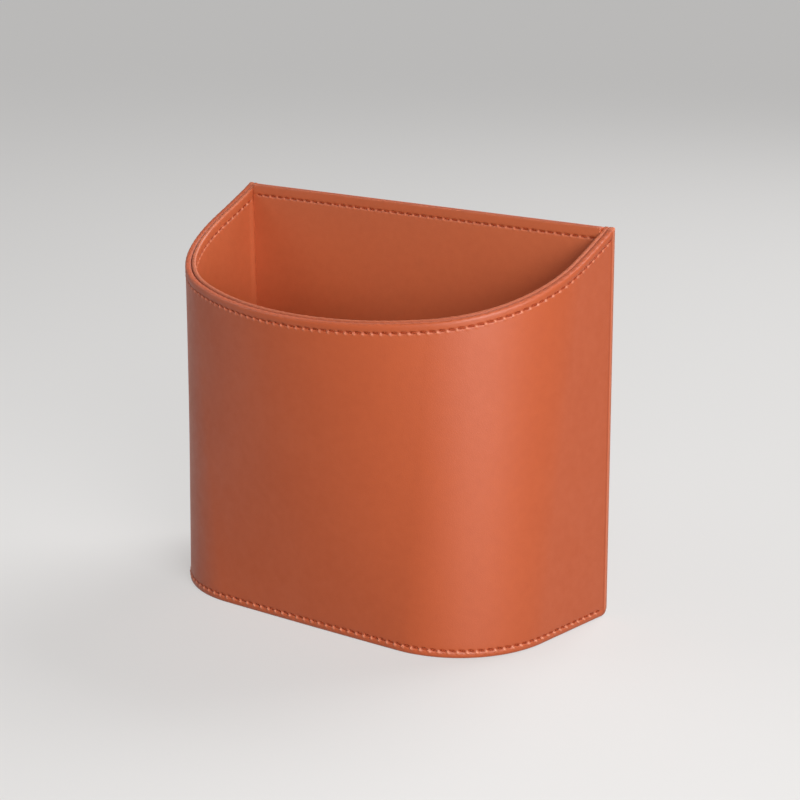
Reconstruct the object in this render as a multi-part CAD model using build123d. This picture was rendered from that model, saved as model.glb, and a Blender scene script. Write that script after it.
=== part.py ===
from build123d import *
import math
import os

# Overall sizes in millimetres. While the bin is built, its back lies in the plane y = 0.
width = 180.0
back_height = 156.5
front_height = 126.5
rim_dip = 3.0            # how far the rim sags below a straight slope, seen from the side
tip_rise = 0.2           # how far the rear tips of the front cover stand above the back's edge
heel_radius = 3.5        # round at the lower rear corners of the sides

# Plan of the wall at the base, then at the level of the back's top edge.
# The draft leans the sides inwards to the front, and the bow rounds the front.
base_depth = 78.0
base_corner = 42.5
base_draft = 7.0
base_bow = 0.2
top_depth = 88.0
top_corner = 62.0
top_draft = 0.7
top_bow = 7.2

# Sheets. Where leather is folded, the core between its layers is pared to its edge thickness.
leather = 0.9
core_edge = 0.9
fold = 9.0               # how far leather is folded over at an edge
fit_gap = 0.1            # play round the back panel and round the base
lining_lift = 1.0        # how far the linings stop above the bottom edge
shoulder = 0.35          # how far the two faces of a cover's fold stop short of its crest

# Hook and loop tape on the back.
tape_width = 25.0
tape_length = 110.0
tape_spacing = 90.0      # between the middles of the two strips
tape_low = 22.0
tape_corner = 3.0
loop_thick = 1.3
hook_thick = 1.3

# Depths below the outside of the wall at which each layer ends.
core_out = leather
turn_out = core_out + core_edge
ply_out = turn_out + leather
lining_turn = ply_out + leather
wall_thick = lining_turn + leather
rim_depth = base_depth + (top_depth - base_depth) * front_height / back_height
reach = 200.0            # larger than the bin, for cutting blocks


def plan_wire(depth, corner, draft, bow, inset, level):
    """The D outline at one level, moved in by inset, with its back edge 12 mm behind the back."""
    lean = math.radians(draft)
    side = (depth - bow - corner + corner * math.sin(lean)) / math.cos(lean)
    middle_x = width / 2 - side * math.sin(lean) - corner * math.cos(lean)
    middle_y = side * math.cos(lean) - corner * math.sin(lean)
    turned = math.pi / 2 - 2 * math.atan(bow / middle_x)
    front_radius = corner + middle_x / math.cos(turned)
    front_y = middle_y - middle_x * math.tan(turned)

    def on_corner(angle):
        radius = corner - inset
        return middle_x + radius * math.cos(angle), middle_y + radius * math.sin(angle)

    start = on_corner(lean)
    half_way = on_corner((lean + turned) / 2)
    end = on_corner(turned)
    behind = 12.0
    back_x = start[0] + (start[1] + behind) * math.tan(lean)
    front_point = (0, -(front_y + front_radius - inset), level)

    def right(point):
        return point[0], -point[1], level

    def left(point):
        return -point[0], -point[1], level

    edges = [
        Line((-back_x, behind, level), (back_x, behind, level)),
        Line((back_x, behind, level), right(start)),
        ThreePointArc(right(start), right(half_way), right(end)),
        ThreePointArc(right(end), front_point, left(end)),
        ThreePointArc(left(end), left(half_way), left(start)),
        Line(left(start), (-back_x, behind, level)),
    ]
    return Wire(edges)


def tub(inset):
    """The space inside the wall's outer face, moved in by inset."""
    low = plan_wire(base_depth, base_corner, base_draft, base_bow, inset, 0)
    high = plan_wire(top_depth, top_corner, top_draft, top_bow, inset, back_height)
    return Solid.make_loft([low, high], ruled=True)


def under_rim(drop, edge, heel):
    """The space below the rim lowered by drop, above the base and in front of the back by edge."""
    middle = (back_height + front_height) / 2 - rim_dip
    rim = ThreePointArc(
        (0, 0, back_height - drop),
        (0, -rim_depth / 2, middle - drop),
        (0, -rim_depth, front_height - drop),
    )
    outline = [
        rim,
        Line((0, -rim_depth, front_height - drop), (0, -reach, front_height - drop)),
        Line((0, -reach, front_height - drop), (0, -reach, -1)),
        Line((0, -reach, -1), (0, 0, -1)),
        Line((0, 0, -1), (0, 0, back_height - drop)),
    ]
    block = extrude(Face(Wire(outline)), amount=reach, dir=(1, 0, 0), both=True)
    keep = Pos(0, -edge - reach / 2, edge + reach / 2) * Box(2 * reach, reach, reach)
    if heel > 0:
        lower = keep.edges().filter_by(Axis.X).sort_by(Axis.Z)[:2].sort_by(Axis.Y)[-1]
        keep = fillet(lower, heel)
    return block & keep


def slab(front, back, low, high):
    """A block across the whole width between two depths and two heights."""
    return Pos(0, (front + back) / 2, (low + high) / 2) * Box(2 * reach, back - front, high - low)


# Outer faces of the layers, one inside the other.
outside = tub(0)
at_core = tub(core_out)
at_turn = tub(turn_out)
at_ply = tub(ply_out)
at_lining = tub(lining_turn)
inside = tub(wall_thick)

crest_zone = under_rim(0, 0, heel_radius)
shoulder_zone = under_rim(shoulder, shoulder, heel_radius - shoulder)
core_zone = under_rim(leather, leather, heel_radius - leather)
field_zone = under_rim(fold, fold, 0)

# Front wall: a cover folded round the core, the core, and a lining folded under itself.
core_tongue = (at_core - at_turn) & core_zone
front_core = core_tongue + ((at_turn - at_lining) & field_zone)
front_crest = ((at_core - at_turn) & crest_zone) - core_tongue
front_outer = (outside - at_core) & shoulder_zone
front_turn = ((at_turn - at_ply) & shoulder_zone) - field_zone
front_cover = front_outer.fuse(front_crest, front_turn)
above_base = slab(-reach, 0, lining_lift, reach)
front_lining = ((at_ply - inside) & crest_zone & above_base) - ((at_ply - at_lining) & field_zone)

# Back panel: flat and thinner, between the linings at the two ends of the front wall.
back_top = back_height - tip_rise
back_inset = wall_thick + fit_gap
back_thick = lining_turn
back_space = tub(back_inset)
back_tongue = tub(back_inset + leather) & slab(-turn_out, -core_out, leather, back_top - leather)
back_field = tub(back_inset + fold) & slab(-ply_out, -turn_out, fold, back_top - fold)
back_core = back_tongue + back_field
back_crest = (back_space & slab(-turn_out, -core_out, 0, back_top)) - back_tongue
back_shoulder = tub(back_inset + shoulder)
back_outer = back_shoulder & slab(-core_out, 0, shoulder, back_top - shoulder)
back_turn = (back_shoulder & slab(-ply_out, -turn_out, shoulder, back_top - shoulder)) - back_field
back_cover = back_outer.fuse(back_crest, back_turn)
back_lining = back_space & slab(-back_thick, -ply_out, lining_lift, back_top)

# Base: the same layers again, pushed in from below between the linings.
base_space = tub(wall_thick + fit_gap)
base_core_space = tub(wall_thick + fit_gap + leather)
base_field_space = tub(wall_thick + fit_gap + fold)
base_back = -back_thick - fit_gap
base_tongue = base_core_space & slab(-reach, base_back - leather, core_out, turn_out)
base_field = base_field_space & slab(-reach, base_back - fold, turn_out, ply_out)
base_core = base_tongue + base_field
base_cover = (base_space & slab(-reach, base_back, 0, ply_out)) - base_tongue - base_field
base_lining = base_space & slab(-reach, base_back, ply_out, lining_turn)


def strip(middle_x, front, back):
    """A strip of tape with rounded corners, standing upright on the back."""
    high = tape_low + tape_length
    block = Pos(middle_x, (front + back) / 2, (tape_low + high) / 2) * Box(tape_width, back - front, tape_length)
    return fillet(block.edges().filter_by(Axis.Y), tape_corner)


# Tapes: loop tape on the back cover, then self-adhesive hook tape pressed onto it.
loop_tape_left = strip(-tape_spacing / 2, 0, loop_thick)
loop_tape_right = strip(tape_spacing / 2, 0, loop_thick)
hook_tape_left = strip(-tape_spacing / 2, loop_thick, loop_thick + hook_thick)
hook_tape_right = strip(tape_spacing / 2, loop_thick, loop_thick + hook_thick)

pieces = {
    "front_cover": front_cover,
    "front_core": front_core,
    "front_lining": front_lining,
    "back_cover": back_cover,
    "back_core": back_core,
    "back_lining": back_lining,
    "base_cover": base_cover,
    "base_core": base_core,
    "base_lining": base_lining,
    "loop_tape_left": loop_tape_left,
    "loop_tape_right": loop_tape_right,
    "hook_tape_left": hook_tape_left,
    "hook_tape_right": hook_tape_right,
}

# The origin is under the middle of the whole bin, so the pieces move back together.
boxes = [piece.bounding_box() for piece in pieces.values()]
nearest = min(box.min.Y for box in boxes)
farthest = max(box.max.Y for box in boxes)
shift = Pos(0, -(nearest + farthest) / 2, 0)

os.makedirs("parts", exist_ok=True)
for name, piece in pieces.items():
    print(name, len(piece.solids()), round(piece.volume), piece.is_valid)
    export_step(shift * piece, f"parts/{name}.step")
print("shift", shift.position)
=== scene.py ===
import math

import bpy
import numpy as np
from mathutils import Matrix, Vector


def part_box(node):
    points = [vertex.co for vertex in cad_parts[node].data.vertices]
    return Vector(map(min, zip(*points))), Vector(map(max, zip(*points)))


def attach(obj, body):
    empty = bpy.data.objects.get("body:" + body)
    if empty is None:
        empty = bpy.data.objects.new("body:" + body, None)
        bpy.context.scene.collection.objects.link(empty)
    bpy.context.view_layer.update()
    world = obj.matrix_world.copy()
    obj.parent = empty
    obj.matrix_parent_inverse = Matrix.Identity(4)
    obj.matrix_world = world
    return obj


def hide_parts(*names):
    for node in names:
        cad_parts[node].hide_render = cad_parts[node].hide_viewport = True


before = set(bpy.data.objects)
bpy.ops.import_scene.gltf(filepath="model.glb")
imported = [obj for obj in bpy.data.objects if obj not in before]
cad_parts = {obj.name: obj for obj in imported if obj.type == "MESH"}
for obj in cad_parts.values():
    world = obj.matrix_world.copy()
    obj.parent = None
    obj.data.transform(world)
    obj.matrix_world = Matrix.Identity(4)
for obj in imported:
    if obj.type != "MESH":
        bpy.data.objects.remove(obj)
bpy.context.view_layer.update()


# Boards of the front wall, the back and the base.
# Grey board, die-cut and pared thin along its edges, so that leather can be folded round it.
# The leather hides them, so the solids stay as they are and only get their finish.
board_grey = (0.30, 0.27, 0.23, 1.0)
board_fleck = (0.17, 0.15, 0.13, 1.0)
board_fibre = 900.0
board_tooth = 0.0001


def feed(tree, node, inputs):
    """Sets a node's inputs to plain values, or links them to the sockets that feed them."""
    for key, value in inputs.items():
        if isinstance(value, bpy.types.NodeSocket):
            tree.links.new(value, node.inputs[key])
        else:
            node.inputs[key].default_value = value


def add_node(tree, kind, inputs, **settings):
    """One new node of a tree, with its settings and then its inputs."""
    node = tree.nodes.new(kind)
    for key, value in settings.items():
        setattr(node, key, value)
    feed(tree, node, inputs)
    return node


def result(tree, kind, inputs, **settings):
    """The first output of a new node."""
    return add_node(tree, kind, inputs, **settings).outputs[0]


def new_finish(name):
    """A new node material, with its tree and its Principled shader."""
    material = bpy.data.materials.new(name)
    material.use_nodes = True
    return material, material.node_tree, material.node_tree.nodes["Principled BSDF"]


def spot_on(tree):
    """The place on a piece, in the piece's own coordinates."""
    return tree.nodes.new("ShaderNodeTexCoord").outputs["Object"]


def noise(tree, spot, scale, detail):
    """A cloudy pattern from 0 to 1."""
    return result(tree, "ShaderNodeTexNoise", {"Vector": spot, "Scale": scale, "Detail": detail})


def calc(tree, operation, *values):
    """The result of one sum on plain values or sockets."""
    return result(tree, "ShaderNodeMath", dict(enumerate(values)), operation=operation)


def blend_colours(tree, share, first, second):
    """The colour between two colours, by a share from 0 to 1."""
    mix = add_node(tree, "ShaderNodeMix", {0: share, 6: first, 7: second}, data_type="RGBA")
    return mix.outputs[2]


def rescale(tree, value, low, high, new_low, new_high):
    """A value taken from one range to another, and held there."""
    inputs = {"Value": value, 1: low, 2: high, 3: new_low, 4: new_high}
    return result(tree, "ShaderNodeMapRange", inputs)


def bumps(tree, height, strength, distance):
    """A surface raised by a height, for a shader's Normal. The distance is in metres."""
    inputs = {"Height": height, "Strength": strength, "Distance": distance}
    return result(tree, "ShaderNodeBump", inputs)


board, tree, shader = new_finish("grey_board")
fibre = noise(tree, spot_on(tree), board_fibre, 6.0)
fleck = rescale(tree, fibre, 0.45, 0.75, 0.0, 1.0)
feed(tree, shader, {
    "Base Color": blend_colours(tree, fleck, board_grey, board_fleck),
    "Normal": bumps(tree, fibre, 0.4, board_tooth),
    "Roughness": 0.9,
})
for node_name in ("front_core", "back_core", "base_core"):
    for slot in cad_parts[node_name].material_slots:
        slot.material = board


# Front cover: one sheet of smooth tan leather round the front and both sides.
# It is glued to the board, with its edges folded over at the rim, the bottom and both back ends.
# The stitches press slots into it, and it swells a little between them.
millimetre = 0.001
half_width = 90.0
back_height = 156.5
front_height = 126.5
rim_dip = 3.0
rim_depth = 86.083
base_shape = (78.0, 42.5, 7.0, 0.2)     # depth, corner radius, lean of the sides and bow of the front
top_shape = (88.0, 62.0, 0.7, 7.2)
leather_thick = 0.9
cover_ply = 2.7
cover_fold = cover_ply / 2
fold_over = 9.0
heel_round = 3.5
tip_round = 0.2
least_round = 0.05
halvings = 36
rim_rounds = 30
place_rounds = 6
cover_row = 3.5
bottom_row = 2.95
rim_pitch = 3.6
bottom_pitch = 3.68
columns_per_stitch = 9
back_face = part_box("back_cover")[1].y / millimetre

leather_tan = (0.53, 0.094, 0.021, 1.0)
leather_deep = (0.45, 0.074, 0.016, 1.0)
# Painted shade: the dark colour laid into the stitch slots, the creases and the grooves between plies,
# where shade falls.
leather_slot_shade = (0.22, 0.030, 0.008, 1.0)
# Painted highlight: the pale colour laid on the beads between stitches and on the ridges at the back
# ends.
leather_highlight = (0.80, 0.27, 0.145, 1.0)


def wall_plan(depth, corner, draft, bow):
    """The wall's outline at one level: a leaning side, a round corner and a slightly bowed front."""
    lean = math.radians(draft)
    side = (depth - bow - corner + corner * math.sin(lean)) / math.cos(lean)
    middle_x = half_width - side * math.sin(lean) - corner * math.cos(lean)
    middle_y = side * math.cos(lean) - corner * math.sin(lean)
    turned = math.pi / 2 - 2 * math.atan(bow / middle_x)
    front_radius = corner + middle_x / math.cos(turned)
    front_y = middle_y - middle_x * math.tan(turned)
    return lean, corner, middle_x, middle_y, turned, front_radius, front_y


base_plan = wall_plan(*base_shape)
top_plan = wall_plan(*top_shape)


def plan_point(plan, turn, depth):
    """Points of an outline moved in by depth.
    turn goes from -3, the left back end, to 3, the right one."""
    lean, corner, middle_x, middle_y, turned, front_radius, front_y = plan
    part = 3 - np.abs(turn)
    radius = corner - depth
    start_x = middle_x + radius * math.cos(lean)
    start_y = middle_y + radius * math.sin(lean)
    along_side = np.clip(part, 0, 1)
    round_corner = lean + (turned - lean) * np.clip(part - 1, 0, 1)
    round_front = turned + (math.pi / 2 - turned) * np.clip(part - 2, 0, 1)
    bow = front_radius - depth
    where = [part < 1, part < 2]
    side_x = start_x + start_y * math.tan(lean) * (1 - along_side)
    corner_x = middle_x + radius * np.cos(round_corner)
    corner_y = middle_y + radius * np.sin(round_corner)
    x = np.select(where, [side_x, corner_x], bow * np.cos(round_front))
    y = np.select(where, [start_y * along_side, corner_y], front_y + bow * np.sin(round_front))
    return np.where(turn < 0, -x, x), -y


def wall_point(turn, height, depth):
    """Points of the wall, straight up from the base's outline to the top's, as x, y and z."""
    share = height / back_height
    low_x, low_y = plan_point(base_plan, turn, depth)
    high_x, high_y = plan_point(top_plan, turn, depth)
    x = low_x + (high_x - low_x) * share
    y = low_y + (high_y - low_y) * share
    return np.stack(np.broadcast_arrays(x, y, height), -1)


turns = np.linspace(-3, 3, 3001)


def run_length(points):
    """The distance along a line of points, from its start."""
    steps = np.linalg.norm(np.diff(points, axis=0), axis=1)
    return np.concatenate([[0], np.cumsum(steps)])


low_run = run_length(wall_point(turns, np.zeros_like(turns), 0))
high_run = run_length(wall_point(turns, np.full_like(turns, back_height), 0))


def run_at(turn, height):
    """The distance along the wall from its left back end, at a height."""
    share = height / back_height
    return np.interp(turn, turns, low_run) * (1 - share) + np.interp(turn, turns, high_run) * share


def turn_at(run, height):
    """The place on the outline at a distance along the wall, found by halving."""
    low = np.full(np.shape(run), -3.0)
    high = np.full(np.shape(run), 3.0)
    for _ in range(halvings):
        middle = (low + high) / 2
        short = run_at(middle, height) < run
        low = np.where(short, middle, low)
        high = np.where(short, high, middle)
    return (low + high) / 2


def rim_arc(y):
    """The height of the rim seen from the side: an arc from the back's top down to the front's."""
    a = np.array([0.0, back_height])
    b = np.array([-rim_depth / 2, (back_height + front_height) / 2 - rim_dip])
    c = np.array([-rim_depth, front_height])
    halves = np.array([(b @ b - a @ a) / 2, (c @ c - b @ b) / 2])
    middle_y, middle_z = np.linalg.solve(np.array([b - a, c - b]), halves)
    radius = math.hypot(middle_y, back_height - middle_z)
    return middle_z - np.sqrt(radius**2 - (np.clip(y, -rim_depth, 0) - middle_y) ** 2)


def rim_heights(depth):
    """The rim's height at each turn, at a depth in the wall."""
    heights = np.full_like(turns, front_height)
    for _ in range(rim_rounds):
        heights = rim_arc(wall_point(turns, heights, depth)[:, 1])
    return heights


def soft_step(value):
    """0 below 0, 1 above 1, and smooth between."""
    held = np.clip(value, 0, 1)
    return held * held * (3 - 2 * held)


def sewing_row(points, pitch, margin, way, slant=0.16, below=0.45, fullness=1.0):
    """An evenly spaced row of stitches along a line, from margin to margin.
    way is 1 where it was sewn along the line and -1 against it. The stitches lie a little aslant,
    and the leather beads up between them, that far below them and that full."""
    along = run_length(points)
    room = along[-1] - 2 * margin
    count = round(room / pitch)
    return {
        "along": along, "start": margin, "count": count, "pitch": room / count,
        "way": way, "slant": slant, "below": below, "fullness": fullness,
    }


row_fade = 0.4
slot_depth = 0.46
slot_half = 0.36
slot_edge = 2.6
slot_end = 1.36
slot_end_fade = 0.55
bead_swell = 0.36
bead_turn = math.radians(40)
bead_half_length = 0.95
bead_half_width = 0.45
bead_clears = 0.8
crease_depth = 0.08
crease_above = 0.12
crease_half = 0.4
crease_shade = 0.25


def stitch_marks(row, along, down):
    """How far a row presses the leather in, how much painted shade its slots and the crease above them
    get, and how full the beads between.
    """
    phase = (along - row["start"]) / row["pitch"]
    inside = soft_step(phase / row_fade) * soft_step((row["count"] - phase) / row_fade)
    x = (phase - np.floor(phase) - 0.5) * row["pitch"] * row["way"]
    off = down - row["slant"] * x
    slot = np.exp(-np.abs(off / slot_half) ** slot_edge)
    slot = slot * soft_step((slot_end - np.abs(x)) / slot_end_fade + 0.5) * inside
    bead_x = x - np.sign(x) * row["pitch"] / 2
    bead_down = down - row["below"]
    length = bead_x * math.cos(bead_turn) + bead_down * math.sin(bead_turn)
    width = bead_down * math.cos(bead_turn) - bead_x * math.sin(bead_turn)
    bead = np.exp(-((length / bead_half_length) ** 2) - (width / bead_half_width) ** 2)
    bead = bead * inside * row["fullness"]
    crease = np.exp(-(((down + crease_above) / crease_half) ** 2)) * inside
    depth = slot_depth * slot + crease_depth * crease - bead_swell * bead
    # The second value is painted shade in the slots and the crease above the row, cleared where the
    # beads are.
    return depth, np.maximum(slot, crease_shade * crease) * (1 - bead_clears * bead), bead


def two_rows(places, place, *rows):
    """The marks of a cover's upper and lower rows, each a row and the distance down from it."""
    upper, lower = (
        stitch_marks(row, np.interp(place, places, row["along"]), down) for row, down in rows
    )
    return [top + low for top, low in zip(upper, lower)]


row_pull = 0.12
row_pull_reach = 1.1
end_reach = 3.0


def hem_swell(inset, row, fold_radius, field):
    """The leather's depth across a hem: full at the fold, drawn in at the row, then the panel's."""
    toward = np.clip((inset - fold_radius) / (row - fold_radius), 0, 1)
    hem = (field + row_pull) * toward**2
    beyond = field + row_pull * np.exp(-(inset - row) / row_pull_reach)
    return np.where(inset < row, hem, beyond)


def cover_hems(down, up, end, field):
    """A cover's depth, by distances from its top edge, its lower edge and its end."""
    hems = hem_swell(down, cover_row, cover_fold, field)
    hems = hems + hem_swell(up, bottom_row, cover_fold, field) - field
    return hems - field * (1 - soft_step((end - cover_fold) / end_reach))


wave_depth = 0.018
leather_waves = ((0.19, 0.043, 1.0), (0.083, -0.071, 2.2), (0.047, 0.113, 4.1))


def gentle_waves(u, z):
    """The slight unevenness of leather on board, from a few long waves."""
    return wave_depth * sum(np.sin(u * a + z * b + c) for a, b, c in leather_waves)


fold_squareness = 0.66
end_squareness = 0.2
tip_length = 1.3
tip_squareness = 0.6
groove_shade = 0.4
groove_start = 1.3
groove_fade = 0.5


def fold_arc(radius, steps):
    """A pressed fold, a little flatter than half-round: distances below the edge and depths."""
    angles = np.linspace(0, math.pi, steps + 1)[1:]
    over = np.sin(angles) ** fold_squareness
    through = np.sign(np.cos(angles)) * np.abs(np.cos(angles)) ** fold_squareness
    return list(zip(radius - radius * over, radius - radius * through))


face_insets = [10.0, 8.2, 6.8, 5.9, 5.35, 4.9, 4.55, 4.25, 3.95]
face_insets += [3.7, 3.45, 3.2, 2.95, 2.7, 2.45, 2.2, 1.9, 1.6]
panel_rows = 24
end_crowding = 0.15


def new_object(name, data):
    """An object at the origin, shown in the scene."""
    thing = bpy.data.objects.new(name, data)
    bpy.context.scene.collection.objects.link(thing)
    return thing


def in_frame(points):
    """Points in millimetres from the back's plane, as places in the bin's frame."""
    return ((points + (0, back_face, 0)) * millimetre).tolist()


def new_piece(name, points, faces, finish, marks=None):
    """A mesh object in the bin's frame, with the marks that its finish reads."""
    mesh = bpy.data.meshes.new(name)
    mesh.from_pydata(in_frame(points), [], faces)
    for label, values in (marks or {}).items():
        mark = mesh.attributes.new(label, "FLOAT", "POINT")
        mark.data.foreach_set("value", values.astype(np.float32))
    mesh.shade_smooth()
    mesh.materials.append(finish)
    return new_object(name, mesh)


def leather_sheet(name, columns, insets, section, place, relief, point, finish, turned):
    """A closed sheet folded over on all four edges: the face, rings to the edge, round it, the back.
    place gives a spot on the panel, relief its depth and marks, and point its position in space.
    The face's rings crowd together at the two ends, so that the rows keep their shape up to there."""
    fold = insets[-1]
    shares = np.linspace(0, 1, columns + 1)
    rises = (1 - np.cos(np.linspace(0, math.pi, panel_rows + 1))) / 2
    share, rise = (part.ravel() for part in np.meshgrid(shares, rises, indexing="ij"))
    index = np.arange(share.size).reshape(columns + 1, panel_rows + 1)
    border = np.concatenate([index[:-1, 0], index[-1, :-1], index[:0:-1, -1], index[0, :0:-1]])
    points, pressed, painted_highlight, loops = [], [], [], []
    size = 0

    def lay(spots, depth, slot, bead):
        nonlocal size
        points.append(point(*spots, depth))
        pressed.append(np.broadcast_to(slot, spots[0].shape))
        painted_highlight.append(np.broadcast_to(bead, spots[0].shape))
        size += spots[0].size
        return size - spots[0].size

    field = place(share, rise, insets[0], fold + (insets[0] - fold) * end_crowding)
    lay(field, *relief(*field))
    loops.append(border)
    for inset in insets[1:]:
        spots = place(share[border], rise[border], inset, fold + (inset - fold) * end_crowding)
        loops.append(lay(spots, *relief(*spots)) + np.arange(border.size))
    from_tip = np.minimum(share, 1 - share)[border] * columns / columns_per_stitch
    tip = 1 - tip_squareness * soft_step(1 - from_tip / tip_length)
    for inset, depth in section:
        squared = inset * tip if inset < fold else inset
        spots = place(share[border], rise[border], squared, inset * end_squareness)
        _, slot, bead = relief(*spots)
        shade = groove_shade * soft_step((depth / fold - groove_start) / groove_fade)
        loops.append(lay(spots, depth, np.maximum(slot, shade), bead) + np.arange(border.size))
    behind = lay(field, leather_thick, 0.0, 0.0)
    loops.append(border + behind)

    corners = [index[:-1, :-1], index[1:, :-1], index[1:, 1:], index[:-1, 1:]]
    front = np.stack(corners, -1).reshape(-1, 4)
    rings = [
        np.stack([a, b, np.roll(b, -1), np.roll(a, -1)], -1)
        for a, b in zip(loops, loops[1:])
    ]
    faces = np.concatenate([front, front[:, ::-1] + behind, *rings])
    if turned:
        faces = faces[:, ::-1]
    # The first mark is painted shade in slots, creases and grooves; the second is painted highlight on
    # the beads and the back ends' ridges.
    marks = {"pressed": np.concatenate(pressed), "painted_highlight": np.concatenate(painted_highlight)}
    return new_piece(name, np.concatenate(points), faces.tolist(), finish, marks)


def corner_rounding(from_end, from_edge, radius):
    """Spots of a ring near a square corner, moved onto a round one."""
    away = np.maximum(from_end, from_edge)
    angle = math.pi / 4 * np.clip(1 - away / radius, 0, 1)
    near = radius * (1 - np.sin(angle))
    off = radius * (1 - np.cos(angle))
    level = from_end >= from_edge
    inside = away < radius
    end = np.where(inside, np.where(level, near, off), from_end)
    edge = np.where(inside, np.where(level, off, near), from_edge)
    return end, edge


def wall_place(share, rise, inset, end_inset, low, rim):
    """A spot on the wall by its shares of the panel's length and height, drawn in by the insets."""
    height = low + inset + rise * (front_height - low - 2 * inset)
    for _ in range(place_rounds):
        length = run_at(3.0, height)
        run = end_inset + share * (length - 2 * end_inset)
        turn = turn_at(run, height)
        room = np.interp(turn, turns, rim) - low - 2 * inset
        height = low + inset + rise * room
    if np.min(inset) >= face_insets[0]:
        return turn, height
    left = run - end_inset
    right = length - end_inset - run
    below = rise * room
    above = (1 - rise) * room
    at_top = above < below
    radius = np.maximum(np.where(at_top, tip_round, heel_round) - inset, least_round)
    end, edge = corner_rounding(np.minimum(left, right), np.minimum(below, above), radius)
    run = np.where(left < right, end_inset + end, length - end_inset - end)
    turn = turn_at(run, height)
    top = np.interp(turn, turns, rim)
    return turn, np.where(at_top, top - inset - edge, low + inset + edge)


sway_scale = 700.0
sway_reach = (0.0005, 0.0005, 0.0005)
pebble_scale = 1500.0
fine_scale = 4200.0
cloud_scale = 34.0
mottle_scale = 260.0
cloud_range = (0.75, 1.3)
leather_rough = (0.46, 0.54)
slot_rough = 0.3
leather_gloss = 0.72
grain_height = 0.00006


def leather_finish(name, plain, deep):
    """Smooth satin leather: fine pebbled grain, faint clouding, painted shade in the slots and
    grooves, and painted highlights on the beads and the back ends' ridges.
    """
    material, tree, shader = new_finish(name)
    spot = spot_on(tree)
    sway = {"Vector": spot, "Scale": sway_scale, "Detail": 2.0}
    sway = add_node(tree, "ShaderNodeTexNoise", sway).outputs["Color"]
    shift = result(tree, "ShaderNodeVectorMath", {0: sway, 1: sway_reach}, operation="MULTIPLY")
    bent = result(tree, "ShaderNodeVectorMath", {0: spot, 1: shift}, operation="ADD")
    cells = {"Vector": bent, "Scale": pebble_scale}
    grain = result(tree, "ShaderNodeTexVoronoi", cells, feature="DISTANCE_TO_EDGE")
    pebble = rescale(tree, grain, 0.0, 0.22, 0.0, 1.0)
    fine = noise(tree, spot, fine_scale, 3.0)
    cloud = noise(tree, spot, cloud_scale, 4.0)
    clouding = calc(tree, "ADD", cloud, noise(tree, spot, mottle_scale, 3.0))
    # The pressed mark is painted shade in the slots, creases and grooves.
    slot = add_node(tree, "ShaderNodeAttribute", {}, attribute_name="pressed").outputs["Fac"]
    # This mark is painted highlight on the beads and the back ends' ridges.
    bead = add_node(tree, "ShaderNodeAttribute", {}, attribute_name="painted_highlight").outputs["Fac"]
    colour = blend_colours(tree, rescale(tree, clouding, *cloud_range, 0.0, 0.35), plain, deep)
    colour = blend_colours(tree, rescale(tree, pebble, 0.0, 0.6, 0.22, 0.0), colour, deep)
    # Painted highlight on the beads and ridges.
    colour = blend_colours(tree, rescale(tree, bead, 0.1, 0.9, 0.0, 0.85), colour, leather_highlight)
    # Painted shade in the slots, creases and grooves.
    colour = blend_colours(tree, rescale(tree, slot, 0.1, 0.8, 0.0, 0.85), colour, leather_slot_shade)
    rough = rescale(tree, clouding, *cloud_range, *leather_rough)
    relief = calc(tree, "MULTIPLY_ADD", fine, 0.35, pebble)
    feed(tree, shader, {
        "Base Color": colour,
        "Roughness": calc(tree, "MULTIPLY_ADD", slot, slot_rough, rough),
        "Normal": bumps(tree, relief, 0.35, grain_height),
        "Specular IOR Level": leather_gloss,
    })
    return material


cover_field = 0.13
rim_pucker = 0.05
ridge_width = 1.5
ridge_fade = 0.4
ridge_highlight = 0.5
end_crease = 0.7
end_crease_half = 0.5
end_crease_depth = 0.12
end_crease_shade = 0.35

cover_leather = leather_finish("tan_leather", leather_tan, leather_deep)
cover_rim = rim_heights(cover_fold)
rim_row_height = cover_rim - cover_row
wall_low_height = np.full_like(turns, bottom_row)
rim_line = wall_point(turns, rim_row_height, 0)
rim_row = sewing_row(rim_line, rim_pitch, margin=1.8, way=1, fullness=0.76)
wall_low_line = wall_point(turns, wall_low_height, 0)
wall_low_row = sewing_row(wall_low_line, bottom_pitch, margin=3.6, way=1)


def puckered(heights, row, depth):
    """A rim's heights, drawn down a little between the stitches of its row."""
    phase = (row["along"] - row["start"]) / row["pitch"]
    return heights - depth + depth * np.cos(2 * math.pi * (phase - 0.5))


puckered_rim = puckered(cover_rim, rim_row, rim_pucker)


def cover_place(share, rise, inset, end_inset):
    return wall_place(share, rise, inset, end_inset, 0.0, puckered_rim)


def cover_relief(turn, height):
    """The front cover's depth and marks: two rows, the hems beside them and the back ends."""
    top = np.interp(turn, turns, cover_rim)
    run = run_at(turn, height)
    end = np.minimum(run, run_at(3.0, height) - run)
    upper = (rim_row, top - cover_row - height)
    depth, slot, bead = two_rows(turns, turn, upper, (wall_low_row, bottom_row - height))
    hems = cover_hems(top - height, height, end, cover_field)
    waves = gentle_waves(run, height) * soft_step(hems / cover_field)
    # Painted highlight along the ridge at each back end, with painted shade in the crease beside it.
    ridge = 1 - soft_step((end - ridge_width) / ridge_fade)
    crease = np.exp(-(((end - ridge_width - end_crease) / end_crease_half) ** 2))
    depth = np.maximum(hems, 0) + depth + waves + end_crease_depth * crease
    return depth, slot + end_crease_shade * crease, bead + ridge_highlight * ridge


cover_section = fold_arc(cover_fold, steps=8) + [
    (fold_over, cover_ply),
    (fold_over, cover_ply - leather_thick),
    (leather_thick, cover_ply - leather_thick),
    (leather_thick, leather_thick),
]
front_cover = leather_sheet(
    "front_cover_leather", rim_row["count"] * columns_per_stitch, face_insets + [cover_fold],
    cover_section, cover_place, cover_relief, wall_point, cover_leather, turned=False,
)
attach(front_cover, "root")
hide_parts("front_cover")


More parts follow.
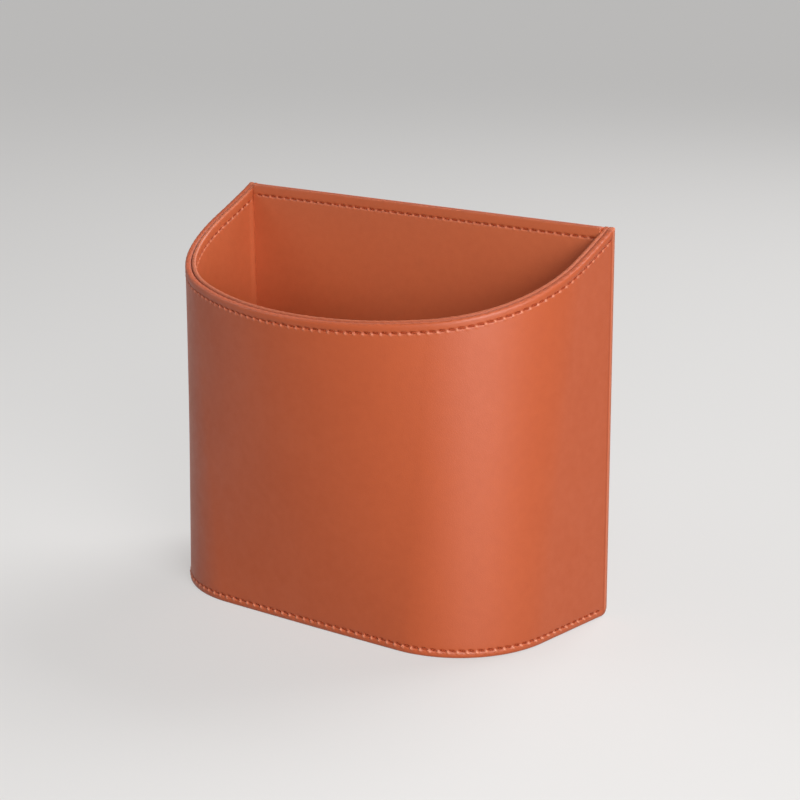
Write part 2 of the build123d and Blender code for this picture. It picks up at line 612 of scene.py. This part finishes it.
# Front lining: the leather inside the front and the sides, glued to the board.
# Its edges are folded under, and its upper fold stands beside the cover's at the rim, with a groove
# between. The same stitches catch the lining and the cover.
lining_face = 4.5
lining_ply = 1.8
lining_fold = lining_ply / 2
lining_low = 1.0
lining_row = 4.5
back_thick = 3.6
lining_field = 0.08
lining_pucker = 0.04
seam_swell = 0.4
seam_place = back_thick + 0.6
seam_half = 1.7
seam_start = 3.0
seam_reach = 8.0
lining_wave_shift = 40.0
# Painted sheen: the lining is the cover's leather, coloured a little paler and less saturated for the
# brighter light and sheen inside the bin.
lining_tan_sheen = (0.56, 0.128, 0.043, 1.0)
lining_deep_sheen = (0.48, 0.100, 0.031, 1.0)


def lining_point(turn, height, depth):
    return wall_point(turn, height, lining_face - depth)


lining_leather = leather_finish("tan_lining", lining_tan_sheen, lining_deep_sheen)
lining_rim = rim_heights(lining_face - lining_fold)
lining_row_height = lining_rim - lining_row
lining_rim_row = sewing_row(
    lining_point(turns, lining_row_height, 0), rim_pitch, margin=back_thick + 1.0, way=-1,
    slant=0.08, below=0.2, fullness=1.15,
)
puckered_lining = puckered(lining_rim, lining_rim_row, lining_pucker)


def lining_place(share, rise, inset, end_inset):
    return wall_place(share, rise, inset, end_inset, lining_low, puckered_lining)


def lining_relief(turn, height):
    """The front lining's depth and marks. It swells a little in front of the back panel's edges."""
    top = np.interp(turn, turns, lining_rim)
    run = run_at(turn, height)
    end = np.minimum(run, run_at(3.0, height) - run)
    along = np.interp(turn, turns, lining_rim_row["along"])
    depth, slot, bead = stitch_marks(lining_rim_row, along, top - lining_row - height)
    hems = hem_swell(top - height, lining_row, lining_fold, lining_field)
    swell = seam_swell * np.exp(-(((end - seam_place) / seam_half) ** 2))
    swell = swell * soft_step((top - height - seam_start) / seam_reach)
    waves = gentle_waves(run + lining_wave_shift, height)
    return np.maximum(hems, 0) - swell + depth + waves, slot, bead


lining_section = fold_arc(lining_fold, steps=6) + [
    (fold_over, lining_ply),
    (fold_over, leather_thick),
]
front_lining = leather_sheet(
    "front_lining_leather", lining_rim_row["count"] * columns_per_stitch,
    face_insets + [1.25, lining_fold], lining_section, lining_place, lining_relief, lining_point,
    lining_leather, turned=True,
)
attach(front_lining, "root")
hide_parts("front_lining")


# Sewing thread: bonded polyester, one lockstitch row round the rim
# and one round the bottom edge, each through the cover, the board's thin edge and the lining. Its
# deeper tone than the leather is painted shade for the slots it lies in.
# Each stitch lies a little aslant in the slot that it has pulled into the leather.
# Painted shade: both thread colours are deepened below the leather's tone for the shade in the slots.
thread_shaded_red = (0.44, 0.068, 0.018, 1.0)
thread_shaded_dark = (0.31, 0.042, 0.011, 1.0)
thread_radius = 0.33
thread_sides = 6
thread_sink = 0.50
stitch_length = 2.75
stitch_dip = 0.34
stitch_steps = 8
guide_steps = 4
ply_scale = 460.0
ply_turn = (0.0, 0.0, math.radians(38))
ply_height = 0.00006
stitch_swing = ((-0.05, -0.03, -0.05), (0.05, 0.03, 0.05))
stitch_sizes = ((0.95, 0.92, 0.92), (1.03, 1.06, 1.06))


def thread_finish():
    """Twisted thread: slanting plies on each stitch's own coordinates, waxed and dull."""
    material, tree, shader = new_finish("sewing_thread")
    lie = add_node(tree, "ShaderNodeAttribute", {}, attribute_name="lie").outputs["Vector"]
    slanted = result(tree, "ShaderNodeMapping", {"Vector": lie, "Rotation": ply_turn})
    waves = {"Vector": slanted, "Scale": ply_scale, "Distortion": 0.4}
    plies = add_node(tree, "ShaderNodeTexWave", waves).outputs["Fac"]
    feed(tree, shader, {
        "Base Color": blend_colours(tree, plies, thread_shaded_dark, thread_shaded_red),
        "Normal": bumps(tree, plies, 0.6, ply_height),
        "Roughness": 0.6,
        "Specular IOR Level": 0.25,
    })
    return material


def row_tree(name, sizes):
    """A new node tree with a line to follow, a count, named sizes, a seed and a finish."""
    tree = bpy.data.node_groups.new(name, "GeometryNodeTree")
    sockets = [("Geometry", "NodeSocketGeometry"), ("Count", "NodeSocketInt")]
    sockets += [(label, "NodeSocketFloat") for label in sizes]
    sockets += [("Seed", "NodeSocketInt"), ("Finish", "NodeSocketMaterial")]
    for label, kind in sockets:
        tree.interface.new_socket(label, in_out="INPUT", socket_type=kind)
    tree.interface.new_socket("Geometry", in_out="OUTPUT", socket_type="NodeSocketGeometry")
    return tree, tree.nodes.new("NodeGroupInput").outputs


def thread_tube(tree, line, radius, sides):
    """A tube with closed ends along a line."""
    ring = {"Resolution": sides, "Radius": radius}
    ring = result(tree, "GeometryNodeCurvePrimitiveCircle", ring)
    tube = {"Curve": line, "Profile Curve": ring, "Fill Caps": True}
    return result(tree, "GeometryNodeCurveToMesh", tube)


def lay_along(tree, given, shape, upright, swing, sizes):
    """Lays a shape at even steps of the line, with one of its axes upright on the line's facing.
    Each is turned and sized a little differently, and all become one mesh with its finish."""
    line = result(tree, "GeometryNodeMeshToCurve", {"Mesh": given["Geometry"]})
    steps = result(tree, "GeometryNodeResampleCurve", {"Curve": line, "Count": given["Count"]})
    facing = {"Name": "facing"}
    facing = result(tree, "GeometryNodeInputNamedAttribute", facing, data_type="FLOAT_VECTOR")
    ahead = tree.nodes.new("GeometryNodeInputTangent").outputs[0]
    stand_up = result(
        tree, "FunctionNodeAxesToRotation", {"Primary Axis": facing, "Secondary Axis": ahead},
        primary_axis=upright, secondary_axis="X",
    )
    laid = {"Points": steps, "Instance": shape, "Rotation": stand_up}
    laid = result(tree, "GeometryNodeInstanceOnPoints", laid)
    changes = (
        ("GeometryNodeRotateInstances", "Rotation", swing),
        ("GeometryNodeScaleInstances", "Scale", sizes),
    )
    for kind, label, (low, high) in changes:
        spread = {0: low, 1: high, "Seed": given["Seed"]}
        spread = result(tree, "FunctionNodeRandomValue", spread, data_type="FLOAT_VECTOR")
        laid = result(tree, kind, {"Instances": laid, label: spread})
    whole = result(tree, "GeometryNodeRealizeInstances", {"Geometry": laid})
    finished = {"Geometry": whole, "Material": given["Finish"]}
    whole = result(tree, "GeometryNodeSetMaterial", finished)
    add_node(tree, "NodeGroupOutput", {"Geometry": whole})


def stitch_tree():
    """Nodes that lay one stitch at each step of a line: a thread that dips at both ends."""
    tree, given = row_tree("stitch_row", ("Stitch length", "Thread radius", "Slant", "Sink"))
    half = calc(tree, "MULTIPLY", given["Stitch length"], 0.5)
    rise = calc(tree, "MULTIPLY", half, given["Slant"])
    back, fall, deep = (calc(tree, "MULTIPLY", v, -1.0) for v in (half, rise, given["Sink"]))
    start = result(tree, "ShaderNodeCombineXYZ", {"X": back, "Y": rise, "Z": deep})
    crown = result(tree, "ShaderNodeCombineXYZ", {"Z": given["Sink"]})
    end = result(tree, "ShaderNodeCombineXYZ", {"X": half, "Y": fall, "Z": deep})
    bend = {"Resolution": stitch_steps, "Start": start, "Middle": crown, "End": end}
    bend = result(tree, "GeometryNodeCurveQuadraticBezier", bend)
    stitch = thread_tube(tree, bend, given["Thread radius"], thread_sides)
    stitch = result(tree, "GeometryNodeSetShadeSmooth", {"Geometry": stitch})
    place = tree.nodes.new("GeometryNodeInputPosition").outputs[0]
    stitch = result(
        tree, "GeometryNodeStoreNamedAttribute", {"Geometry": stitch, "Name": "lie", "Value": place},
        data_type="FLOAT_VECTOR", domain="POINT",
    )
    lay_along(tree, given, stitch, "Z", stitch_swing, stitch_sizes)
    return tree


thread = thread_finish()
stitches = stitch_tree()


def settle(holder, tree, name, values):
    """A plain mesh object of what a node tree makes of a holder, which is then removed."""
    modifier = holder.modifiers.new(name, "NODES")
    modifier.node_group = tree
    for socket in tree.interface.items_tree:
        if socket.in_out == "INPUT" and socket.name in values:
            modifier[socket.identifier] = values[socket.name]
    graph = bpy.context.evaluated_depsgraph_get()
    mesh = bpy.data.meshes.new_from_object(holder.evaluated_get(graph))
    mesh.name = name
    bpy.data.objects.remove(holder)
    return new_object(name, mesh)


def guide_line(name, points, outer, closed=False):
    """A line of points for a node tree to follow, with the way that each point faces."""
    mesh = bpy.data.meshes.new(name)
    count = len(points)
    edges = [(k, k + 1) for k in range(count - 1)]
    if closed:
        edges.append((count - 1, 0))
    mesh.from_pydata(in_frame(points), edges, [])
    ways = outer / np.linalg.norm(outer, axis=1)[:, None]
    facing = mesh.attributes.new("facing", "FLOAT_VECTOR", "POINT")
    facing.data.foreach_set("vector", ways.astype(np.float32).ravel())
    return new_object(name, mesh)


def sew(name, row, spots, point, seed):
    """One row of thread on a sheet, its stitches in the slots of that row."""
    first = row["start"] + row["pitch"] / 2
    last = first + (row["count"] - 1) * row["pitch"]
    places = np.linspace(first, last, row["count"] * guide_steps)
    spots = [np.interp(places, row["along"], part) for part in spots]
    points = point(*spots, thread_sink)
    outer = point(*spots, 0.0) - point(*spots, 1.0)
    if row["way"] < 0:
        points = points[::-1]
        outer = outer[::-1]
    values = {
        "Count": row["count"],
        "Stitch length": stitch_length * millimetre,
        "Thread radius": thread_radius * millimetre,
        "Slant": row["slant"],
        "Sink": stitch_dip * millimetre,
        "Seed": seed,
        "Finish": thread,
    }
    piece = settle(guide_line(name + "_line", points, outer), stitches, name, values)
    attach(piece, "root")


sew("thread_rim_outside", rim_row, (turns, rim_row_height), wall_point, 1)
sew("thread_rim_inside", lining_rim_row, (turns, lining_row_height), lining_point, 2)
sew("thread_bottom", wall_low_row, (turns, wall_low_height), wall_point, 3)


# Back cover: a flat sheet of the same leather on the outside of the back, folded over its board on
# all four edges. It stands between the linings at the front wall's back ends.
# Rows of stitches along its top and bottom edges hold it to its lining.
back_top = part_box("back_cover")[1].z / millimetre
back_gap = 4.53
back_corner = 0.25
back_columns = 46 * columns_per_stitch
back_pitch = 3.73
back_margin = 2.4
back_hem = 0.12
back_flat_start = 6.0
back_flat_reach = 8.0


def back_half(height, depth):
    """Half the back panel's width at a height and a depth."""
    low, high = (
        half_width - depth * math.tan(plan[0]) - back_gap / math.cos(plan[0])
        for plan in (base_plan, top_plan)
    )
    return low + (high - low) * (height / back_height)


def back_place_between(share, rise, inset, end_inset, low):
    """A spot on the back panel, as a share of its half width and a height."""
    room = back_top - low - 2 * inset
    height = low + inset + rise * room
    half = back_half(height, 0.0)
    length = 2 * (half - end_inset)
    end = share * length
    if np.min(inset) < face_insets[0]:
        from_end = np.minimum(end, length - end)
        from_edge = np.minimum(rise, 1 - rise) * room
        radius = np.maximum(back_corner - inset, least_round)
        rounded, edge = corner_rounding(from_end, from_edge, radius)
        end = np.where(share < 0.5, rounded, length - rounded)
        height = np.where(rise < 0.5, low + inset + edge, back_top - inset - edge)
    return (end + end_inset - half) / half, height


def back_place(share, rise, inset, end_inset):
    return back_place_between(share, rise, inset, end_inset, 0.0)


def back_point(across, height, depth):
    x = across * back_half(height, depth)
    return np.stack(np.broadcast_arrays(x, -np.asarray(depth), height), -1)


across = np.linspace(-1, 1, 1201)
back_row_height = np.full_like(across, back_top - cover_row)
back_low_height = np.full_like(across, bottom_row)
back_row, back_low_row = (
    sewing_row(back_point(across, height, 0.0), back_pitch, back_margin, way=-1)
    for height in (back_row_height, back_low_height)
)


def back_relief(place, height):
    """The back cover's depth and marks. The panel between the hems is level."""
    end = back_half(height, 0.0) * (1 - np.abs(place))
    upper = (back_row, back_top - cover_row - height)
    depth, slot, bead = two_rows(across, place, upper, (back_low_row, bottom_row - height))
    hems = cover_hems(back_top - height, height, end, back_hem)
    inwards = np.minimum(end, np.minimum(height, back_top - height))
    field = back_hem * soft_step((inwards - back_flat_start) / back_flat_reach)
    return np.maximum(hems, 0) - field + depth, slot, bead


back_cover = leather_sheet(
    "back_cover_leather", back_columns, face_insets + [cover_fold], cover_section,
    back_place, back_relief, back_point, cover_leather, turned=True,
)
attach(back_cover, "root")
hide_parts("back_cover")
sew("thread_back_outside", back_row, (across, back_row_height), back_point, 4)
sew("thread_back_bottom", back_low_row, (across, back_low_height), back_point, 5)


# Back lining: the leather on the inside of the back, glued to the back's board.
# It is cut level with the cover's folds and rounded at its edge, and the row along its top is the
# other side of the cover's row.
back_lining_row = 4.2
back_lining_edge = leather_thick / 2
back_wave_span = 88.0
back_wave_shift = 15.0
back_inner_height = np.full_like(across, back_top - back_lining_row)


def back_lining_place(share, rise, inset, end_inset):
    return back_place_between(share, rise, inset, end_inset, lining_low)


def back_lining_point(place, height, depth):
    return back_point(place, height, back_thick - depth)


back_inner_row = sewing_row(
    back_lining_point(across, back_inner_height, 0.0), back_pitch, margin=1.7, way=1,
    slant=0.06, below=0.35, fullness=0.45,
)


def back_lining_relief(place, height):
    """The back lining's depth and marks."""
    along = np.interp(place, across, back_inner_row["along"])
    depth, slot, bead = stitch_marks(back_inner_row, along, back_top - back_lining_row - height)
    hems = hem_swell(back_top - height, back_lining_row, back_lining_edge, lining_field)
    waves = gentle_waves(place * back_wave_span + back_wave_shift, height)
    return np.maximum(hems, 0) + depth + waves, slot, bead


back_lining = leather_sheet(
    "back_lining_leather", back_columns, face_insets + [1.25, 0.9, back_lining_edge],
    fold_arc(back_lining_edge, steps=6), back_lining_place, back_lining_relief, back_lining_point,
    lining_leather, turned=False,
)
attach(back_lining, "root")
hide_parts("back_lining")
sew("thread_back_inside", back_inner_row, (across, back_inner_height), back_lining_point, 6)


# Base: a D-shaped board with leather folded up round it from below and a lining on its top.
# It is pushed up between the linings and glued there, flush with the bottom edge.
base_inset = 4.6
base_rear = 3.7
base_wall_points = 360
base_back_points = 150
base_lining_level = 3.6
base_lining_edge = 0.45
base_dish = 0.12
base_lining_dish = 0.03
dish_reach = 3.0
plate_shares = [0.8, 0.6, 0.4, 0.2]


def base_loop(inset):
    """The closed outline of the base at a distance in from its edge."""
    deep = base_inset + inset
    rear = base_rear + inset
    lean, corner, _, middle_y = base_plan[:4]
    start = middle_y + (corner - deep) * math.sin(lean)
    bend = np.linspace(-3 + rear / start, 3 - rear / start, base_wall_points)
    front = wall_point(bend, np.zeros_like(bend), deep)
    line = np.linspace(front[-1], front[0], base_back_points + 2)[1:-1]
    return np.concatenate([front, line])


def ringed_plate(rings):
    """A closed mesh of rings, from round the middle of one face, over the edge, to the other face."""
    count = len(rings[0])
    middles = [rings[0].mean(axis=0), rings[-1].mean(axis=0)]
    points = np.concatenate([*rings, middles])
    ring = np.arange(count)
    after = np.roll(ring, -1)
    faces = []
    for k in range(len(rings) - 1):
        a = k * count
        b = a + count
        faces += np.stack([ring + a, ring + b, after + b, after + a], -1).tolist()
    last = (len(rings) - 1) * count
    first_middle = len(rings) * count
    sides = list(zip(ring.tolist(), after.tolist()))
    faces += [[first_middle, k, n] for k, n in sides]
    faces += [[first_middle + 1, last + n, last + k] for k, n in sides]
    return points, faces


def base_sheet(name, level, way, insets, section, dish, finish):
    """A closed plate: its face, rings out to the edge and round it, and its back.
    way is 1 where the face looks up and -1 where it looks down."""
    heart = base_loop(insets[0])
    middle = heart.mean(axis=0)
    inner = [middle + (heart - middle) * share for share in plate_shares]
    rings = [(ring, dish) for ring in reversed(inner)]
    for inset in insets:
        rings.append((base_loop(inset), dish * soft_step((inset - insets[-1]) / dish_reach)))
    rings += [(base_loop(inset), depth) for inset, depth in section]
    rings += [(ring, leather_thick) for ring in (heart, *inner)]
    points, faces = ringed_plate([ring + (0, 0, level - way * depth) for ring, depth in rings])
    if way < 0:
        faces = [face[::-1] for face in faces]
    return new_piece(name, points, faces, finish)


base_cover = base_sheet(
    "base_cover_leather", 0.0, -1, [10.0, 6.0, 4.0, 3.0, 2.2, cover_fold], cover_section,
    base_dish, cover_leather,
)
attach(base_cover, "root")
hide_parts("base_cover")
base_lining = base_sheet(
    "base_lining_leather", base_lining_level, 1, [10.0, 4.0, 2.0, base_lining_edge],
    fold_arc(base_lining_edge, steps=6), base_lining_dish, lining_leather,
)
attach(base_lining, "root")
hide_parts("base_lining")


# Loop tape: two upright strips of black nylon loop tape, glued to the outside of the back.
# Each is a woven web with a mat of fine loops on it, and the loops show along the strip's edges.
web_black = (0.012, 0.012, 0.013, 1.0)
web_worn = (0.085, 0.083, 0.082, 1.0)
pile_black = (0.010, 0.010, 0.011, 1.0)
pile_worn = (0.050, 0.048, 0.047, 1.0)
tape_corner = 3.0
least_corner = 0.4
corner_steps = 8
weave_pitch = 0.8
weave_depth = 0.00012
web_thick = 0.55
web_round = 0.12
web_margin = 0.6
pile_side = 0.45
pile_crown = 0.7
pile_margin = 1.2
pile_round = 0.2
pile_gap = 0.02
pile_depth = 0.0003
loop_spacing = 0.62
loop_radius = 0.26
loop_thread = 0.045
loop_start = -0.6
loop_sweep = math.radians(250)
loop_swing = ((-0.4, -1.1, -0.3), (0.4, 1.1, 0.3))
loop_sizes = ((0.75, 0.75, 0.75), (1.1, 1.1, 1.1))
loop_inset = 0.34
loop_steps = 7
loop_sides = 4
loop_above_web = 0.2
loop_below_top = 0.25
loop_seed = 20

quarter = np.repeat(np.arange(4), corner_steps + 1)
around = (quarter + np.tile(np.linspace(0, 1, corner_steps + 1), 4)) * math.pi / 2
strip_facing = np.stack([np.sin(around), np.zeros_like(around), np.cos(around)], -1)


def tape_strip(node_name):
    """The two corners of a strip's solid, in millimetres from the back's plane."""
    return [np.array(corner) / millimetre - (0, back_face, 0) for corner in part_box(node_name)]


def strip_ring(strip, side_inset, end_inset, depth):
    """A ring round an upright strip at a depth, drawn in at its long sides and at its ends."""
    low, high = strip
    radius = max(tape_corner - max(side_inset, end_inset), least_corner)
    reach_x = (high[0] - low[0]) / 2 - side_inset - radius
    reach_z = (high[2] - low[2]) / 2 - end_inset - radius
    corner_x = (low[0] + high[0]) / 2 + np.where(quarter < 2, reach_x, -reach_x)
    corner_z = (low[2] + high[2]) / 2 + np.where(quarter % 3 == 0, reach_z, -reach_z)
    x = corner_x + radius * np.sin(around)
    z = corner_z + radius * np.cos(around)
    return np.stack([x, np.full_like(x, depth), z], -1)


def strip_plate(name, strip, rings, finish):
    """A closed plate of a strip's outline, from rings of side inset, end inset and depth."""
    points, faces = ringed_plate([strip_ring(strip, *ring) for ring in rings])
    return new_piece(name, points, faces, finish)


def weave_height(tree, spot):
    """A plain weave in the plane of the back: threads along x and z that take turns on top."""
    flat = result(tree, "ShaderNodeMapping", {"Vector": spot, "Scale": (1.0, 0.0, 1.0)})
    square = {"Vector": flat, "Scale": 1 / (weave_pitch * millimetre)}
    bands = {"Vector": flat, "Scale": math.pi / 10 / (weave_pitch * millimetre)}
    turn = add_node(tree, "ShaderNodeTexChecker", square).outputs["Fac"]
    warp, weft = (
        add_node(tree, "ShaderNodeTexWave", bands, bands_direction=way).outputs["Fac"]
        for way in ("X", "Z")
    )
    return blend_colours(tree, turn, warp, weft)


def web_finish():
    """Black woven nylon, a little paler on the crowns of its threads."""
    material, tree, shader = new_finish("nylon_web")
    spot = spot_on(tree)
    weave = weave_height(tree, spot)
    crown = calc(tree, "MULTIPLY", weave, noise(tree, spot, 2600.0, 4.0))
    wear = rescale(tree, crown, 0.15, 0.6, 0.0, 1.0)
    feed(tree, shader, {
        "Base Color": blend_colours(tree, wear, web_black, web_worn),
        "Normal": bumps(tree, weave, 0.7, weave_depth),
        "Roughness": 0.62,
        "Sheen Weight": 0.1,
    })
    return material


def pile_finish():
    """Black nylon fibre, dull, with paler tips."""
    material, tree, shader = new_finish("nylon_pile")
    tuft = noise(tree, spot_on(tree), 1900.0, 5.0)
    wear = rescale(tree, tuft, 0.45, 0.75, 0.0, 1.0)
    feed(tree, shader, {
        "Base Color": blend_colours(tree, wear, pile_black, pile_worn),
        "Normal": bumps(tree, tuft, 0.9, pile_depth),
        "Roughness": 0.7,
        "Sheen Weight": 0.2,
    })
    return material


def pile_tree():
    """Nodes that stand small loops along a line: arcs of fine thread."""
    tree, given = row_tree("pile_loops", ("Loop radius", "Sweep", "Thread radius"))
    bend = {"Resolution": loop_steps, "Radius": given["Loop radius"]}
    bend.update({"Start Angle": loop_start, "Sweep Angle": given["Sweep"]})
    bend = result(tree, "GeometryNodeCurveArc", bend)
    loop = thread_tube(tree, bend, given["Thread radius"], loop_sides)
    lay_along(tree, given, loop, "Y", loop_swing, loop_sizes)
    return tree


web = web_finish()
pile = pile_finish()
loops_on_line = pile_tree()


def edge_loops(name, strip, depth, radius, sweep, thread_radius, seed):
    """A row of small loops or hooks round the edge of a strip."""
    ring = strip_ring(strip, loop_inset, loop_inset, depth)
    line = guide_line(name + "_line", ring, strip_facing, closed=True)
    length = 2 * (strip[1] - strip[0])[[0, 2]].sum()
    values = {
        "Count": round(length / loop_spacing),
        "Loop radius": radius * millimetre,
        "Sweep": sweep,
        "Thread radius": thread_radius * millimetre,
        "Seed": seed,
        "Finish": pile,
    }
    piece = settle(line, loops_on_line, name, values)
    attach(piece, "root")


for k, side in enumerate(("left", "right")):
    node_name = "loop_tape_" + side
    strip = tape_strip(node_name)
    top = strip[1][1]
    web_rings = [
        (web_margin, web_margin, web_thick),
        (web_round, web_round, web_thick),
        (0.0, 0.0, web_thick - web_round),
        (0.0, 0.0, web_round),
        (web_round, web_round, 0.0),
        (web_margin, web_margin, 0.0),
    ]
    piece = strip_plate(node_name + "_web", strip, web_rings, web)
    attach(piece, "root")
    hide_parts(node_name)
    pile_rings = [
        (pile_margin, pile_margin, top),
        (pile_crown, pile_crown, top),
        (pile_side, pile_side, top - pile_round),
        (pile_side, pile_side, web_thick + pile_gap),
        (pile_margin, pile_margin, web_thick + pile_gap),
    ]
    piece = strip_plate(node_name + "_pile", strip, pile_rings, pile)
    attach(piece, "root")
    for row, depth in enumerate((web_thick + loop_above_web, top - loop_below_top)):
        name = "%s_loops_%d" % (node_name, row + 1)
        seed = loop_seed + 2 * k + row
        edge_loops(name, strip, depth, loop_radius, loop_sweep, loop_thread, seed)


# Hook tape: a strip of self-adhesive hook tape pressed onto each strip of loop tape.
# Its fine hooks hold the loops, its woven web has ribbed selvedges, and a film of adhesive covers
# its back.
film_black = (0.014, 0.014, 0.015, 1.0)
film_grey = (0.050, 0.050, 0.052, 1.0)
film_rough = (0.2, 0.34)
hook_radius = 0.17
hook_thread = 0.05
hook_sweep = math.radians(200)
hook_band = 0.42
hook_seed = 30
rib_start = 0.2
rib_width = 0.36
rib_height = 0.1
rib_count = 3
rib_end_step = 0.16
rib_end_fall = 0.08
selvedge_round = 0.2
film_side = 2.6
film_end = 1.0
film_thick = 0.3
film_round = 0.08
film_margin = 0.5
film_lap = (0.4, 0.2)
film_border = (0.8, 0.25)


def film_finish():
    """A satin adhesive film that the weave under it shows through."""
    material, tree, shader = new_finish("adhesive_film")
    spot = spot_on(tree)
    weave = weave_height(tree, spot)
    ripple = noise(tree, spot, 160.0, 3.0)
    shine = rescale(tree, calc(tree, "MULTIPLY_ADD", weave, 0.6, ripple), 0.4, 1.2, 0.0, 1.0)
    height = calc(tree, "MULTIPLY_ADD", ripple, 4.0, weave)
    feed(tree, shader, {
        "Base Color": blend_colours(tree, shine, film_black, film_grey),
        "Roughness": rescale(tree, ripple, 0.3, 0.7, *film_rough),
        "Normal": bumps(tree, height, 0.5, weave_depth),
    })
    return material


film = film_finish()
for k, side in enumerate(("left", "right")):
    node_name = "hook_tape_" + side
    strip = tape_strip(node_name)
    front = strip[0][1] + hook_band
    back = strip[1][1] - film_thick
    ribs = []
    for rib in range(rib_count):
        side_inset = rib_start + rib * rib_width
        end_inset = rib_start + rib * rib_end_step
        ribs.append((side_inset + rib_width / 2, end_inset, back))
        ribs.append((side_inset + rib_width, end_inset + rib_end_fall, back - rib_height))
    web_rings = [
        (film_side - film_lap[0], film_end - film_lap[1], back),
        (film_side - film_border[0], film_end - film_border[1], back),
        *reversed(ribs),
        (web_round, web_round, back - rib_height),
        (0.0, 0.0, back - selvedge_round),
        (0.0, 0.0, front + web_round),
        (web_round, web_round, front),
        (pile_margin, pile_margin, front),
    ]
    piece = strip_plate(node_name + "_web", strip, web_rings, web)
    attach(piece, "root")
    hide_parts(node_name)
    middle = strip[0][1] + hook_band / 2
    name = node_name + "_hooks"
    edge_loops(name, strip, middle, hook_radius, hook_sweep, hook_thread, hook_seed + k)
    film_rings = [
        (film_side + film_margin, film_end + film_margin, back + film_thick),
        (film_side + film_round, film_end + film_round, back + film_thick),
        (film_side, film_end, back + film_thick - film_round),
        (film_side, film_end, back),
        (film_side + film_margin, film_end + film_margin, back),
    ]
    piece = strip_plate(node_name + "_film", strip, film_rings, film)
    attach(piece, "root")


# Stage: a plain pale floor that runs on into a pale surround, so that the bin can be seen from any
# side. Both look paler than the light that they throw back, so that the lower wall isn't flooded.
floor_pale = (0.78, 0.77, 0.76, 1.0)
floor_dim = (0.06, 0.0585, 0.057, 1.0)
floor_glow = 0.6
floor_half = 9.0
surround_pale = (0.48, 0.474, 0.468, 1.0)
surround_light = 0.05


def seen_rays(tree):
    """1 for rays from the camera, a gloss or a clear piece, and 0 for rays that only carry light."""
    ray = tree.nodes.new("ShaderNodeLightPath").outputs
    seen = ray["Is Camera Ray"]
    for kind in ("Is Glossy Ray", "Is Transmission Ray"):
        seen = calc(tree, "MAXIMUM", seen, ray[kind])
    return seen


floor_mesh = bpy.data.meshes.new("floor")
signs = ((-1, -1), (1, -1), (1, 1), (-1, 1))
floor_mesh.from_pydata([(x * floor_half, y * floor_half, 0) for x, y in signs], [], [(0, 1, 2, 3)])
floor = new_object("floor", floor_mesh)
floor_finish, tree, shader = new_finish("pale_floor")
seen = seen_rays(tree)
colour = blend_colours(tree, seen, floor_dim, floor_pale)
feed(tree, shader, {"Base Color": colour, "Roughness": 0.85})
glow = result(tree, "ShaderNodeEmission", {"Color": floor_pale})
share = rescale(tree, seen, 0.0, 1.0, 0.0, floor_glow)
both = result(tree, "ShaderNodeMixShader", {0: share, 1: shader.outputs[0], 2: glow})
feed(tree, tree.nodes["Material Output"], {"Surface": both})
floor_mesh.materials.append(floor_finish)

world = bpy.data.worlds.new("surround")
bpy.context.scene.world = world
world.use_nodes = True
tree = world.node_tree
strength = rescale(tree, seen_rays(tree), 0.0, 1.0, surround_light, 1.0)
feed(tree, tree.nodes["Background"], {"Color": surround_pale, "Strength": strength})


# Light: a soft lamp on the right of the camera, a lower one beside it and a weaker one on the left.
# They stand near, so that the light falls off a little down the wall. One more, behind, lights the
# back and the crest of the rim.
lamp_spread = 110.0
lamp_target = np.array([0.0, 0.0, 0.08])


def looking_in(azimuth, elevation):
    """The right, up and outward directions of what looks in at the bin, from angles in degrees."""
    a = math.radians(azimuth)
    e = math.radians(elevation)
    away = np.array([math.sin(a) * math.cos(e), -math.cos(a) * math.cos(e), math.sin(e)])
    right = np.array([math.cos(a), math.sin(a), 0.0])
    return right, np.cross(away, right), away


def stand(right, up, away, place):
    """A matrix from three axes and a place."""
    columns = np.column_stack([right, up, away, place])
    return Matrix(np.vstack([columns, [0, 0, 0, 1]]).tolist())


def soft_lamp(name, azimuth, elevation, distance, width, height, power):
    """A lamp panel that looks at the middle of the bin and isn't seen itself."""
    right, up, away = looking_in(azimuth, elevation)
    lamp = bpy.data.lights.new(name, "AREA")
    lamp.shape = "RECTANGLE"
    lamp.size = width
    lamp.size_y = height
    lamp.energy = power
    lamp.spread = math.radians(lamp_spread)
    holder = new_object(name, lamp)
    holder.visible_camera = False
    holder.matrix_world = stand(right, up, away, lamp_target + away * distance)


soft_lamp("key_lamp", 59.0, 19.0, distance=0.8, width=0.44, height=0.5, power=1.86)
soft_lamp("low_lamp", 45.0, 16.0, distance=0.8, width=0.44, height=0.22, power=0.82)
soft_lamp("fill_lamp", -60.0, 36.0, distance=0.65, width=0.44, height=0.38, power=0.37)
soft_lamp("back_lamp", 165.0, 44.0, distance=1.6, width=1.07, height=0.93, power=8.2)


# Camera: at the photograph's viewing angle, with a long lens and a very slight roll.
# The angle, the distance and the roll come from a fit to the bin's outline.
view_azimuth = 36.324
view_elevation = 16.085
view_roll = math.radians(-0.462)
view_distance = 0.810431
view_target = np.array([0.001949, back_face * millimetre - 0.017991, 0.078633])
view_lens = 90.0
view_sensor = 36.0

level, upright, away = looking_in(view_azimuth, view_elevation)
right = math.cos(view_roll) * level + math.sin(view_roll) * upright
up = math.cos(view_roll) * upright - math.sin(view_roll) * level
lens = bpy.data.cameras.new("camera")
lens.lens = view_lens
lens.sensor_width = view_sensor
camera = new_object("camera", lens)
camera.matrix_world = stand(right, up, away, view_target + away * view_distance)
bpy.context.scene.camera = camera
bpy.context.scene.view_settings.view_transform = "Standard"
